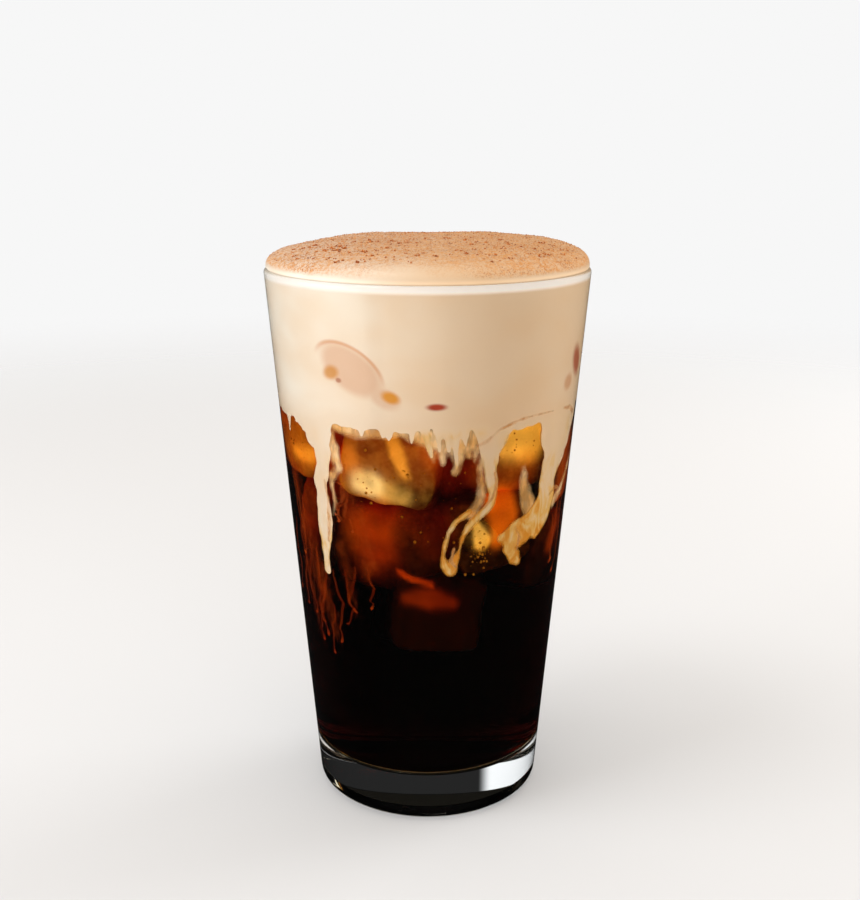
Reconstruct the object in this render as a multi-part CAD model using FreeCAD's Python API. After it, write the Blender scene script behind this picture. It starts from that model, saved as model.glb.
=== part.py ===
"""Iced coffee in a tapered glass, with a deep layer of cream foam on top.

Three pieces share one frame: the glass, the dark coffee that fills its lower part, and
the cream foam that floats on the coffee, domes over the rim and runs down inside the wall.

Frame: millimetres, +Z up, origin at the centre of the base where the glass stands.
The front of the drink faces -Y.  Angles round the glass are in degrees from the front,
positive towards +X.
"""
import FreeCAD, Part
from FreeCAD import Vector
import math
import os

# glass
GLASS_HEIGHT = 149.0
RIM_DIAMETER = 88.0
BASE_DIAMETER = 62.6
RIM_WALL = 2.4
BASE_WALL = 3.2
BASE_THICKNESS = 13.0
LIP_ROUND = 1.0
LIP_ROUND_LIMIT = 0.44
HEEL_ROUND = 4.0
FLOOR_ROUND = 5.0
BEARING_WIDTH = 3.3
RECESS_DEPTH = 2.0
RECESS_TAPER = 2.4
RECESS_ROUND = 0.8

# cream foam
FOAM_DEPTH = 35.5
FOAM_TILT = 1.6
FOAM_RIPPLE = 0.5
RIPPLE_WAVES_X = 4.2
RIPPLE_WAVES_Y = 3.6
RIPPLE_SHIFT = 1.0
FOAM_DOME = 7.4
FOAM_OVERHANG = 0.6
DOME_FULLNESS = 3.8
DOME_SHOULDER = 0.8
DOME_STEPS = 12
DOME_FLAT = 7.0
UNDERSIDE_STEPS = 9
UNDERSIDE_MARGIN = 4.0
RUN_ROOT = 4.0
OVAL_STEPS = 8
END_TURNS = (35, 60, 80)

# Cream that runs down inside the wall.  Each station is
# (depth under the foam layer, angle round the glass, width, thickness inwards).
LEFT_RUN = [
    (0.5, -50.0, 16.0, 3.2),
    (4.0, -47.5, 9.0, 2.8),
    (8.0, -45.5, 5.6, 2.3),
    (14.0, -46.5, 5.2, 2.1),
    (22.0, -46.2, 5.5, 2.1),
    (30.0, -46.8, 4.6, 1.9),
    (36.0, -46.6, 3.2, 1.6),
    (41.0, -47.2, 2.2, 1.2),
]
MIDDLE_RUN = [
    (0.0, 25.0, 12.0, 3.0),
    (5.0, 23.6, 6.0, 2.6),
    (11.0, 25.2, 3.6, 2.1),
    (17.0, 26.6, 3.2, 1.9),
    (22.0, 25.8, 3.4, 1.9),
    (26.0, 22.2, 4.0, 1.8),
    (30.0, 17.2, 3.6, 1.6),
    (34.0, 12.6, 3.0, 1.5),
    (38.0, 9.4, 3.6, 1.7),
]
RIGHT_RUN = [
    (0.0, 60.0, 17.0, 3.4),
    (7.0, 58.6, 9.4, 2.9),
    (15.0, 58.4, 7.2, 2.5),
    (21.0, 56.0, 6.8, 2.4),
    (26.0, 51.4, 8.0, 2.4),
    (30.0, 46.4, 10.0, 2.4),
    (33.0, 41.0, 9.0, 2.2),
    (36.5, 38.0, 6.0, 2.0),
    (39.5, 40.0, 4.0, 1.7),
]
RIGHT_LOBE = (33.0, 50.2, 4.4)
REAR_LEFT_RUN = [
    (0.0, -118.0, 12.0, 3.2),
    (5.0, -117.0, 7.0, 2.7),
    (12.0, -118.4, 4.8, 2.2),
    (20.0, -120.0, 4.6, 2.1),
    (27.0, -119.2, 4.0, 1.9),
    (32.0, -118.4, 3.2, 1.6),
]
REAR_RUN = [
    (0.0, 166.0, 16.0, 3.3),
    (6.0, 168.0, 8.4, 2.8),
    (14.0, 170.5, 5.6, 2.3),
    (22.0, 172.0, 5.0, 2.1),
    (30.0, 170.6, 5.8, 2.1),
    (37.0, 168.0, 4.4, 1.8),
    (43.0, 166.6, 3.0, 1.4),
]
REAR_RIGHT_RUN = [
    (0.0, 118.0, 13.0, 3.0),
    (6.0, 119.5, 6.2, 2.5),
    (13.0, 122.0, 4.0, 2.0),
    (20.0, 123.5, 3.6, 1.8),
    (25.0, 122.4, 4.2, 1.8),
]
RUNS = [LEFT_RUN, MIDDLE_RUN, RIGHT_RUN, REAR_LEFT_RUN, REAR_RUN, REAR_RIGHT_RUN]

rim_radius = RIM_DIAMETER / 2
base_radius = BASE_DIAMETER / 2
underside_level = GLASS_HEIGHT - FOAM_DEPTH
lip_round = min(LIP_ROUND, LIP_ROUND_LIMIT * RIM_WALL)


def outer_radius(height):
    """Radius of the outside of the glass wall."""
    return base_radius + (rim_radius - base_radius) * height / GLASS_HEIGHT


def inner_radius(height):
    """Radius of the inside of the glass wall."""
    wall = BASE_WALL + (RIM_WALL - BASE_WALL) * height / GLASS_HEIGHT
    return outer_radius(height) - wall


def at(radius, height):
    """A point of a half section, in the XZ plane."""
    return Vector(radius, 0, height)


def on_wall(angle, height):
    """The point of the inner wall at an angle from the front."""
    turn = math.radians(angle)
    radius = inner_radius(height)
    return Vector(radius * math.sin(turn), -radius * math.cos(turn), height)


def rounded_path(corners):
    """Straight edges through (radius, height, rounding) corners, each corner rounded."""
    edges = []
    start = at(*corners[0][:2])
    for index in range(1, len(corners) - 1):
        corner = at(*corners[index][:2])
        rounding = corners[index][2]
        back = (at(*corners[index - 1][:2]) - corner).normalize()
        ahead = (at(*corners[index + 1][:2]) - corner).normalize()
        if rounding:
            half = back.getAngle(ahead) / 2
            reach = rounding / math.tan(half)
            middle = (back + ahead).normalize()
            bow = corner + middle * (rounding / math.sin(half) - rounding)
            leave = corner + back * reach
            arrive = corner + ahead * reach
            edges.append(Part.makeLine(start, leave))
            edges.append(Part.Arc(leave, bow, arrive).toShape())
            start = arrive
        else:
            edges.append(Part.makeLine(start, corner))
            start = corner
    edges.append(Part.makeLine(start, at(*corners[-1][:2])))
    return edges


def turned(edges):
    """The solid that a closed half section sweeps round the glass's axis."""
    face = Part.Face(Part.Wire(Part.__sortEdges__(edges)))
    return face.revolve(Vector(0, 0, 0), Vector(0, 0, 1), 360)


def make_glass():
    """Tapered tumbler with a thick base, a rounded lip and a recess under the base."""
    recess_radius = base_radius - HEEL_ROUND - BEARING_WIDTH
    corners = [
        (0, RECESS_DEPTH, 0),
        (recess_radius - RECESS_TAPER, RECESS_DEPTH, RECESS_ROUND),
        (recess_radius, 0, RECESS_ROUND),
        (base_radius, 0, HEEL_ROUND),
        (rim_radius, GLASS_HEIGHT, lip_round),
        (inner_radius(GLASS_HEIGHT), GLASS_HEIGHT, lip_round),
        (inner_radius(BASE_THICKNESS), BASE_THICKNESS, FLOOR_ROUND),
        (0, BASE_THICKNESS, 0),
    ]
    edges = rounded_path(corners)
    edges.append(Part.makeLine(at(0, BASE_THICKNESS), at(0, RECESS_DEPTH)))
    return turned(edges)


def dome_edges():
    """Half section of the foam over the rim: tucked in at the lip, full at the shoulder."""
    edge_radius = rim_radius - RIM_WALL / 2
    widest = edge_radius + FOAM_OVERHANG
    widest_height = GLASS_HEIGHT + FOAM_OVERHANG
    rise = FOAM_DOME - FOAM_OVERHANG
    eighth = math.pi / 4
    tuck_middle = at(edge_radius + FOAM_OVERHANG * math.sin(eighth),
                     GLASS_HEIGHT + FOAM_OVERHANG * (1 - math.cos(eighth)))
    tuck = Part.Arc(at(edge_radius, GLASS_HEIGHT), tuck_middle, at(widest, widest_height))
    curve = [at(widest, widest_height)]
    for step in range(1, DOME_STEPS):
        turn = math.pi / 2 * step / DOME_STEPS
        across = math.cos(turn) ** (2 / DOME_FULLNESS)
        up = math.sin(turn) ** DOME_SHOULDER
        curve.append(at(widest * across, widest_height + rise * up))
    curve.append(at(DOME_FLAT, widest_height + rise))
    crown = Part.BSplineCurve()
    crown.interpolate(curve)
    flat = Part.makeLine(curve[-1], at(0, widest_height + rise))
    return [tuck.toShape(), crown.toShape(), flat]


def make_filling():
    """All that the glass holds, coffee and foam together, from the floor to the dome."""
    corners = [
        (0, BASE_THICKNESS, 0),
        (inner_radius(BASE_THICKNESS), BASE_THICKNESS, FLOOR_ROUND),
        (inner_radius(GLASS_HEIGHT), GLASS_HEIGHT, lip_round),
        (rim_radius - RIM_WALL / 2, GLASS_HEIGHT, 0),
    ]
    edges = rounded_path(corners) + dome_edges()
    edges.append(Part.makeLine(at(0, GLASS_HEIGHT + FOAM_DOME), at(0, BASE_THICKNESS)))
    return turned(edges)


def underside_height(x, y):
    """Height of the foam's underside: a slight tilt with slow ripples."""
    tilt = FOAM_TILT * x / rim_radius
    along = math.sin(RIPPLE_WAVES_X * x / rim_radius + RIPPLE_SHIFT)
    across = math.cos(RIPPLE_WAVES_Y * y / rim_radius)
    return underside_level + tilt + FOAM_RIPPLE * along * across


def make_above_underside():
    """Everything over the foam's uneven underside, wider than the glass."""
    reach = rim_radius + UNDERSIDE_MARGIN
    rows = []
    for i in range(UNDERSIDE_STEPS):
        x = reach * (2 * i / (UNDERSIDE_STEPS - 1) - 1)
        row = []
        for j in range(UNDERSIDE_STEPS):
            y = reach * (2 * j / (UNDERSIDE_STEPS - 1) - 1)
            row.append(Vector(x, y, underside_height(x, y)))
        rows.append(row)
    surface = Part.BSplineSurface()
    surface.interpolate(rows)
    return surface.toShape().extrude(Vector(0, 0, FOAM_DEPTH + 2 * FOAM_DOME))


def run_section(station):
    """Outline of a run at one station: an oval centred on the wall, seen from above."""
    depth, angle, width, thickness = station
    centre = on_wall(angle, underside_level - depth)
    turn = math.radians(angle)
    along = Vector(math.cos(turn), math.sin(turn), 0) * (width / 2)
    inwards = Vector(-math.sin(turn), math.cos(turn), 0) * thickness
    points = []
    for step in range(OVAL_STEPS):
        sweep = 2 * math.pi * step / OVAL_STEPS
        points.append(centre + along * math.sin(sweep) - inwards * math.cos(sweep))
    oval = Part.BSplineCurve()
    oval.interpolate(points, PeriodicFlag=True)
    return Part.Wire(oval.toShape())


def rounded_end(station):
    """Stations that close a run with a round drop."""
    depth, angle, width, thickness = station
    stations = []
    for turn in END_TURNS:
        reach = math.sin(math.radians(turn)) * width / 2
        share = math.cos(math.radians(turn))
        stations.append((depth + reach, angle, width * share, thickness * share))
    return stations


def make_run(stations):
    """One run of cream down the wall, rooted in the foam; its outer half passes the wall."""
    depth, angle, width, thickness = stations[0]
    root = (depth - RUN_ROOT, angle, width, thickness)
    route = [root] + stations + rounded_end(stations[-1])
    return Part.makeLoft([run_section(station) for station in route], True)


def make_lobe(station):
    """A round lobe at the side of a run."""
    depth, angle, width = station
    return Part.makeSphere(width / 2, on_wall(angle, underside_level - depth))


def make_foam(filling):
    """The foam layer, its dome and the runs inside the wall, as one solid."""
    foam = filling.common(make_above_underside())
    for stations in RUNS:
        foam = foam.fuse(make_run(stations).common(filling))
    foam = foam.fuse(make_lobe(RIGHT_LOBE).common(filling))
    return foam.removeSplitter()


def as_one(shape):
    """The solid in a boolean result, or all of them together."""
    return shape.Solids[0] if len(shape.Solids) == 1 else Part.makeCompound(shape.Solids)


def main():
    os.makedirs("parts", exist_ok=True)
    filling = make_filling()
    foam = make_foam(filling)
    pieces = {
        "glass": make_glass(),
        "coffee": filling.cut(foam),
        "cream_foam": foam,
    }
    for name, shape in pieces.items():
        piece = as_one(shape)
        print(name, len(shape.Solids), piece.isValid(), round(piece.Volume / 1000, 2), "cm3")
        piece.exportStep("parts/" + name + ".step")


main()
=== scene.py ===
"""Looks of the iced coffee: glass, dark coffee with sunk ice, cream foam with its runs and spice.

Mesh code works in millimetres in the frame of the CAD: +Z up, the front at -Y.  Angles are
degrees round the glass from the front, positive towards +X.  add_piece turns them to metres.
"""

import math

import bpy
import numpy as np
from mathutils import Euler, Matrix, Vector


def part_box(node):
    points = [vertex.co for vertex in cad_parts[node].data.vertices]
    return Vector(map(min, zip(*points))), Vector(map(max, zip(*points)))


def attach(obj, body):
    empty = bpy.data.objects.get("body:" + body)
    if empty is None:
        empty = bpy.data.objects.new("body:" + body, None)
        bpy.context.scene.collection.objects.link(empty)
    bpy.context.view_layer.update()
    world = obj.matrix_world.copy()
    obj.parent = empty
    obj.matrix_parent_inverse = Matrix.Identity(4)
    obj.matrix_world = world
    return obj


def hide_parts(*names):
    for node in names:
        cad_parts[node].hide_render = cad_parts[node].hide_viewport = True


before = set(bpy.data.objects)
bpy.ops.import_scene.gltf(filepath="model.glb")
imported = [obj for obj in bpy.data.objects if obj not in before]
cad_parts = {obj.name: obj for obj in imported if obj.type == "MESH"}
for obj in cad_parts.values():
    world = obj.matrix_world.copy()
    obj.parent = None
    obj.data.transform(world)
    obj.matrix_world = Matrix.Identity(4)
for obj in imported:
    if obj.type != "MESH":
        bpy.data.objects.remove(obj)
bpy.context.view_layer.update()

MM = 0.001
glass_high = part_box("glass")[1]
foam_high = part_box("cream_foam")[1]
coffee_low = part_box("coffee")[0]

# glass
HEIGHT = glass_high.z / MM
RIM_RADIUS = glass_high.x / MM
FLOOR = coffee_low.z / MM
BASE_RADIUS = 31.3
RIM_WALL = 2.4
BASE_WALL = 3.2
LIP_ROUND = 1.0
HEEL_ROUND = 4.0
FLOOR_ROUND = 5.0
BEARING_WIDTH = 3.3
RECESS_DEPTH = 2.0
RECESS_TAPER = 2.4
RECESS_ROUND = 0.8

# what fills the glass
DOME_TOP = foam_high.z / MM
FOAM_LEVEL = 113.5
DOME_OVERHANG = 0.6
DOME_FULLNESS = 3.8
DOME_SHOULDER = 0.8
DOME_LEAN = 0.6
COFFEE_REACH = 0.15
FOAM_REACH = 0.30
CREAM_REACH = 0.25


# ---------------- shader writing

class Wire:
    """One output of a shader node.  Sums and products of wires add Math nodes."""

    def __init__(self, shade, socket):
        self.shade = shade
        self.socket = socket

    def maths(self, operation, *others):
        numbers = {0: self}
        for index, other in enumerate(others):
            numbers[index + 1] = other
        return self.shade.add("ShaderNodeMath", {"operation": operation}, numbers)

    def reflected(self, operation, first):
        return self.shade.add("ShaderNodeMath", {"operation": operation}, {0: first, 1: self})

    def __add__(self, other):
        return self.maths("ADD", other)

    def __radd__(self, other):
        return self.reflected("ADD", other)

    def __sub__(self, other):
        return self.maths("SUBTRACT", other)

    def __rsub__(self, other):
        return self.reflected("SUBTRACT", other)

    def __mul__(self, other):
        return self.maths("MULTIPLY", other)

    def __rmul__(self, other):
        return self.reflected("MULTIPLY", other)

    def __truediv__(self, other):
        return self.maths("DIVIDE", other)

    def __rtruediv__(self, other):
        return self.reflected("DIVIDE", other)

    def __pow__(self, other):
        return self.maths("POWER", other)

    def limited(self):
        """The value kept between 0 and 1."""
        return self.shade.add("ShaderNodeClamp", {}, {0: self})

    def between(self, low, high):
        """0 up to low, 1 from high on, and smooth between them."""
        settings = {"interpolation_type": "SMOOTHSTEP"}
        return self.shade.add("ShaderNodeMapRange", settings, {0: self, 1: low, 2: high})


class Shade:
    """The nodes of one material or of the world."""

    def __init__(self, owner, output="ShaderNodeOutputMaterial"):
        self.owner = owner
        owner.use_nodes = True
        self.tree = owner.node_tree
        self.tree.nodes.clear()
        self.output = self.tree.nodes.new(output)

    def add(self, kind, settings=None, sockets=None, out=0):
        """A node of any kind: its settings first, then the values or wires of its sockets."""
        node = self.tree.nodes.new(kind)
        for name, value in (settings or {}).items():
            if name == "stops":
                self.set_stops(node.color_ramp, value)
            else:
                setattr(node, name, value)
        for name, value in (sockets or {}).items():
            if isinstance(value, Wire):
                self.tree.links.new(value.socket, node.inputs[name])
            else:
                node.inputs[name].default_value = value
        return Wire(self, node.outputs[out])

    def set_stops(self, ramp, stops):
        while len(ramp.elements) < len(stops):
            ramp.elements.new(0.5)
        for element, (place, colour) in zip(ramp.elements, stops):
            element.position = place
            element.color = (*colour, 1)

    def blend(self, share, first, second):
        """Colour mixed from two colours or wires."""
        sockets = {0: share, 6: opaque(first), 7: opaque(second)}
        return self.add("ShaderNodeMix", {"data_type": "RGBA"}, sockets, 2)

    def mark(self, name, out="Fac"):
        """A value or colour that each point of the mesh carries."""
        return self.add("ShaderNodeAttribute", {"attribute_name": name}, out=out)

    def parts(self, vector):
        return [self.add("ShaderNodeSeparateXYZ", {}, {0: vector}, axis) for axis in range(3)]

    def place(self):
        """x, y and z in millimetres."""
        return [part * (1 / MM) for part in self.parts(self.add("ShaderNodeTexCoord", out="Object"))]

    def noise(self, size, detail=2.0, rough=0.5, stretch=(1, 1, 1), seed=0.0, bend=0.0):
        """Noise whose lumps are about size millimetres across."""
        here = self.add("ShaderNodeTexCoord", out="Object")
        shift = (seed, seed * 0.7, seed * 1.3)
        moved = self.add("ShaderNodeMapping", {"vector_type": "POINT"}, {
            "Vector": here, "Location": shift, "Scale": stretch})
        return self.add("ShaderNodeTexNoise", {}, {
            "Vector": moved, "Scale": 1 / (size * MM), "Detail": detail, "Roughness": rough,
            "Distortion": bend})

    def dressed(self, sockets, volume=None):
        """The owner, finished with the main shader."""
        return self.finish(self.add("ShaderNodeBsdfPrincipled", {}, sockets), volume)

    def finish(self, surface, volume=None):
        self.tree.links.new(surface.socket, self.output.inputs["Surface"])
        if volume is not None:
            self.tree.links.new(volume.socket, self.output.inputs["Volume"])
        return self.owner


def opaque(colour):
    """A colour with its fourth number, or a wire as it is."""
    if isinstance(colour, Wire) or len(colour) == 4:
        return colour
    return (*colour, 1)


def shade(name):
    return Shade(bpy.data.materials.new(name))


def tone(red, green, blue):
    """The linear colour of a display colour given as 0 to 255."""
    values = []
    for number in (red, green, blue):
        share = number / 255
        values.append(share / 12.92 if share <= 0.04045 else ((share + 0.055) / 1.055) ** 2.4)
    return tuple(values)


# ---------------- mesh writing

class Mesh:
    """Points and faces that are gathered before they become one piece."""

    def __init__(self):
        self.points = []
        self.faces = []
        self.marks = {}

    def take(self, points, faces, **marks):
        """Adds points in millimetres and their faces, with a value for each point in each mark."""
        start = sum(len(block) for block in self.points)
        self.points.append(np.asarray(points, float).reshape(-1, 3))
        self.faces.extend([tuple(start + i for i in face) for face in faces])
        for name in set(self.marks) | set(marks):
            blocks = self.marks.setdefault(name, [np.zeros(start)] if start else [])
            values = marks.get(name, 0.0)
            blocks.append(np.broadcast_to(np.asarray(values, float), (len(points),)).copy())
        return self

    def all_points(self):
        return np.concatenate(self.points)


def put(name, data):
    """A new object in the scene."""
    thing = bpy.data.objects.new(name, data)
    bpy.context.scene.collection.objects.link(thing)
    return thing


def add_piece(name, mesh, material, replaced=None, crease=80):
    """Makes the Blender object of a gathered mesh, ties it to the body and hides the CAD part it
    replaces.
    """
    data = bpy.data.meshes.new(name)
    data.from_pydata((mesh.all_points() * MM).tolist(), [], mesh.faces)
    data.validate()
    for mark, blocks in mesh.marks.items():
        layer = data.attributes.new(mark, "FLOAT", "POINT")
        layer.data.foreach_set("value", np.concatenate(blocks).astype(np.float32))
    data.polygons.foreach_set("use_smooth", [True] * len(data.polygons))
    data.set_sharp_from_angle(angle=math.radians(crease))
    data.materials.append(material)
    piece = put(name, data)
    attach(piece, "root")
    if replaced:
        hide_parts(replaced)
    return piece


def paint(piece, name, colours):
    """Gives each point of a piece a colour."""
    layer = piece.data.attributes.new(name, "FLOAT_COLOR", "POINT")
    colours = np.concatenate([colours, np.ones((len(colours), 1))], 1)
    layer.data.foreach_set("color", colours.astype(np.float32).ravel())


def outer_radius(height):
    return BASE_RADIUS + (RIM_RADIUS - BASE_RADIUS) * height / HEIGHT


def inner_radius(height):
    return outer_radius(height) - (BASE_WALL + (RIM_WALL - BASE_WALL) * height / HEIGHT)


def around(angle, radius, height):
    """The point at an angle from the front; arrays give arrays of points."""
    turn = np.radians(angle)
    return np.stack(np.broadcast_arrays(radius * np.sin(turn), -radius * np.cos(turn), height), -1)


def rounded(corners, steps=8):
    """Points of a half section through (radius, height, rounding) corners."""
    path = [corners[0][:2]]
    for before, corner, after in zip(corners, corners[1:], corners[2:]):
        here = Vector(corner[:2])
        back = (Vector(before[:2]) - here).normalized()
        ahead = (Vector(after[:2]) - here).normalized()
        if not corner[2]:
            path.append(tuple(here))
            continue
        half = back.angle(ahead) / 2
        middle = here + (back + ahead).normalized() * (corner[2] / math.sin(half))
        start = here + back * (corner[2] / math.tan(half)) - middle
        end = here + ahead * (corner[2] / math.tan(half)) - middle
        first = math.atan2(start.y, start.x)
        sweep = math.remainder(math.atan2(end.y, end.x) - first, 2 * math.pi)
        for step in range(steps + 1):
            turn = first + sweep * step / steps
            path.append((middle.x + corner[2] * math.cos(turn),
                         middle.y + corner[2] * math.sin(turn)))
    path.append(corners[-1][:2])
    return path


def ring_faces(rows, steps):
    """The faces between rows of points, each row closed round in steps points."""
    faces = []
    for row in range(rows - 1):
        for step in range(steps):
            after = (step + 1) % steps
            faces.append((row * steps + step, row * steps + after,
                          (row + 1) * steps + after, (row + 1) * steps + step))
    return faces


def turned(path, steps=240):
    """Points and faces of a closed half section swept round the axis; its ends lie on the axis."""
    ring = path[1:-1]
    angles = np.arange(steps) * 360 / steps
    radius = np.array([p[0] for p in ring])
    height = np.array([p[1] for p in ring])
    points = around(angles[None, :], radius[:, None], height[:, None]).reshape(-1, 3)
    faces = ring_faces(len(ring), steps)
    first = len(points)
    last = (len(ring) - 1) * steps
    points = np.concatenate([points, [(0, 0, path[0][1]), (0, 0, path[-1][1])]])
    for step in range(steps):
        after = (step + 1) % steps
        faces.append((first, after, step))
        faces.append((first + 1, last + step, last + after))
    return points, faces


NOISE_WAVES = 24
NOISE_PITCH = 2.4
NOISE_HEIGHT = 0.6


def smooth_noise(points, size, seed):
    """Smooth noise from -1 to 1 at each point, with lumps of about size millimetres."""
    draw = np.random.default_rng(seed)
    waves = draw.normal(size=(NOISE_WAVES, 3))
    phases = draw.uniform(0, 2 * math.pi, NOISE_WAVES)
    value = np.sin(points @ waves.T * (NOISE_PITCH / size) + phases).sum(-1)
    return value / math.sqrt(NOISE_WAVES * 0.5) * NOISE_HEIGHT


# ---------------- glass

def glass_material():
    return shade("clear_glass").dressed({
        "Base Color": (0.985, 0.995, 0.99, 1), "Roughness": 0.0, "IOR": 1.5,
        "Transmission Weight": 1.0})


def make_glass():
    recess = BASE_RADIUS - HEEL_ROUND - BEARING_WIDTH
    path = rounded([
        (0, RECESS_DEPTH, 0),
        (recess - RECESS_TAPER, RECESS_DEPTH, RECESS_ROUND),
        (recess, 0, RECESS_ROUND),
        (BASE_RADIUS, 0, HEEL_ROUND),
        (RIM_RADIUS, HEIGHT, LIP_ROUND),
        (inner_radius(HEIGHT), HEIGHT, LIP_ROUND),
        (inner_radius(FLOOR), FLOOR, FLOOR_ROUND),
        (0, FLOOR, 0),
    ])
    piece = add_piece("glass_tumbler", Mesh().take(*turned(path)), glass_material(),
                      "glass", crease=60)
    piece.visible_shadow = False


# ---------------- coffee

COFFEE_TOP = 118.5
COFFEE_EDGE_ROUND = 0.5
COFFEE_CLEARNESS = (0.90, 0.69, 0.12)
COFFEE_STRENGTH = 1200.0


def coffee_loss():
    """Share of each colour that coffee takes off, for each millimetre."""
    return [(1 - clear) * COFFEE_STRENGTH * MM for clear in COFFEE_CLEARNESS]


def coffee_material():
    make = shade("dark_coffee")
    depth = make.add("ShaderNodeVolumeAbsorption", {}, {
        "Color": (*COFFEE_CLEARNESS, 1), "Density": COFFEE_STRENGTH})
    return make.dressed({
        "Base Color": (1, 1, 1, 1), "Roughness": 0.0, "IOR": 1.33, "Transmission Weight": 1.0}, depth)


def make_coffee():
    path = rounded([
        (0, FLOOR - COFFEE_REACH, 0),
        (inner_radius(FLOOR) + COFFEE_REACH, FLOOR - COFFEE_REACH, FLOOR_ROUND),
        (inner_radius(COFFEE_TOP) + COFFEE_REACH, COFFEE_TOP, COFFEE_EDGE_ROUND),
        (0, COFFEE_TOP, 0),
    ])
    add_piece("coffee_drink", Mesh().take(*turned(path)), coffee_material(),
              "coffee", crease=60)


# ---------------- ice

# each cube: angle, height and distance from the axis of its middle, its size and the film of
# coffee between it and the wall, then its turns: lean towards the wall at the top, roll in
# the wall's plane, and spin about its upright
ICE_CUBES = [
    (-17, 103.8, 25, 25, 1.1, -9, 9, 4),
    (-66, 106, 25.5, 23, 1.5, -8, 4, -12),
    (11, 102.5, 19, 20, 3.2, 6, 10, 20),
    (39, 107.5, 25, 24, 1.5, 12, 3, 4),
    (32, 83.5, 23, 22, 2.4, -3, -10, -6),
    (22, 83.5, 30.5, 9, 1, 10, 48, 12),
    (-27, 79.5, 19.5, 23, 2.6, 6, 8, 8),
    (1, 81.5, 20.5, 20, 3.4, -4, -9, 16),
    (4, 61, 19, 23, 3.6, -6, 6, 6),
    (-58, 84, 19, 24, 2.6, 10, 20, 20),
    (78, 99, 24.5, 23, 2, 4, -12, 12),
    (72, 74, 21, 22, 2.8, 6, 14, 10),
    (114, 104, 24, 24, 1.3, 6, 8, -8),
    (152, 102, 24.5, 25, 1.6, -7, -8, 10),
    (-162, 104, 24, 25, 1.3, 8, 10, -12),
    (-118, 102, 24.5, 25, 1.6, 4, -10, 8),
    (132, 80, 21, 23, 2.6, -8, 14, 30),
    (-138, 79, 21, 24, 2.8, 8, -8, -12),
    (176, 80, 21.5, 23, 2.6, -6, 10, 8),
]
ICE_FULLNESS = 6.0
ICE_STEPS = 22
ICE_PRESS = 0.8
ICE_HOLLOWS = 0.045
ICE_DIMPLES = 0.012

# painted light that the ice gives off as a glow, for light caught in it: (stations of angle, height
# and width, softness of its edge, strength, and the coffee in mm that the light has already passed)
GLOWS = [
    ([(-28, 98.3, 1.6), (-23, 97.8, 3)], 2, 0.80, 0),
    ([(-25, 98.4, 2), (-18, 96.6, 2), (-10, 95, 1.4)], 1.8, 0.55, 1.2),
    ([(-13.8, 111, 1.6), (-11.6, 106, 2.4), (-8.4, 100.6, 0.8)], 0.8, 0.95, 2.4),
    ([(-30, 106, 8), (-20, 107, 8), (-4, 104, 6)], 4, 0.50, 7),
    ([(-36, 103, 5), (-38, 99, 4)], 3, 0.70, 4.4),
    ([(-76, 108, 9), (-52, 107, 9)], 4.5, 0.85, 4),
    ([(-66, 101.6, 1), (-50, 102.6, 1.2)], 1.6, 0.7, 1.8),
    ([(-72, 93, 6), (-66, 84, 4)], 5, 0.45, 6),
    ([(-60, 96, 6), (-54, 94, 6)], 4, 0.30, 7),
    ([(35, 109.5, 8), (44, 108, 7)], 2.8, 1.15, 1.25),
    ([(30, 101, 5), (42, 100, 5)], 3, 0.40, 6.5),
    ([(32, 96, 1), (42, 95.6, 1)], 1.2, 0.40, 8),
    ([(32, 92, 6.5), (34, 88, 6.5), (31.5, 82, 2)], 1.8, 1.25, 4.4),
    ([(20, 87, 0.5), (23.5, 82, 3.6)], 0.9, 1.10, 1.4),
    ([(-27, 84.5, 5), (-25, 80, 5), (-22, 89, 4)], 4.5, 0.95, 6),
    ([(-4, 88, 5), (6, 86, 6), (2, 82, 5)], 3, 0.17, 7),
    ([(4, 106, 5), (14, 102, 7)], 3.6, 0.38, 6.4),
    ([(-13.5, 73.2, 0.6), (-7, 71.5, 0.7), (2, 69.9, 0.1)], 0.5, 1.2, 6.4),
    ([(-10, 66, 0.2), (-5, 66.4, 2), (1, 66, 3.4), (6, 65.4, 2), (12, 64.4, 0.2)],
     1.5, 0.55, 7.4),
    ([(70, 104, 6), (80, 95, 8), (74, 90, 5)], 3, 0.70, 5),
    ([(70, 75, 1.5), (75, 80, 2)], 2, 0.60, 4.5),
    ([(108, 106, 8), (118, 104, 7)], 3, 0.95, 1.8),
    ([(120, 97, 4), (106, 95, 4)], 3, 0.45, 6),
    ([(146, 97, 4), (156, 96, 4)], 2.2, 1.05, 0.4),
    ([(152, 108, 5), (148, 104, 4)], 2, 0.80, 2.8),
    ([(-168, 107, 8), (-158, 108, 7)], 3, 0.95, 1.6),
    ([(-160, 99, 5), (-152, 97, 5)], 3, 0.50, 5.5),
    ([(-122, 105, 6), (-112, 103, 8)], 3, 0.80, 3.2),
    ([(-118, 96, 4), (-126, 95, 4)], 2, 0.80, 1),
    ([(130, 82, 6), (136, 78, 5)], 3.5, 0.55, 6),
    ([(-136, 82, 6), (-142, 78, 5)], 3.5, 0.55, 6),
    ([(174, 83, 5), (180, 79, 5)], 3.5, 0.60, 5.5),
]
GLOW_HAZE = 0.02
GLOW_FADE = 16
GLOW_UNEVEN = 0.25


def cube_skin(steps):
    """Points of a cube from -1 to 1 cut into steps by steps fields a side, and their faces."""
    index = {}
    faces = []
    for axis in range(3):
        for side in (-1, 1):
            for i in range(steps):
                for j in range(steps):
                    corners = []
                    for di, dj in ((0, 0), (1, 0), (1, 1), (0, 1)):
                        spot = [0, 0, 0]
                        spot[axis] = side * steps
                        spot[(axis + 1) % 3] = 2 * (i + di) - steps
                        spot[(axis + 2) % 3] = 2 * (j + dj) - steps
                        corners.append(index.setdefault(tuple(spot), len(index)))
                    faces.append(tuple(corners if side > 0 else reversed(corners)))
    return np.array(list(index), float) / steps, faces


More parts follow.
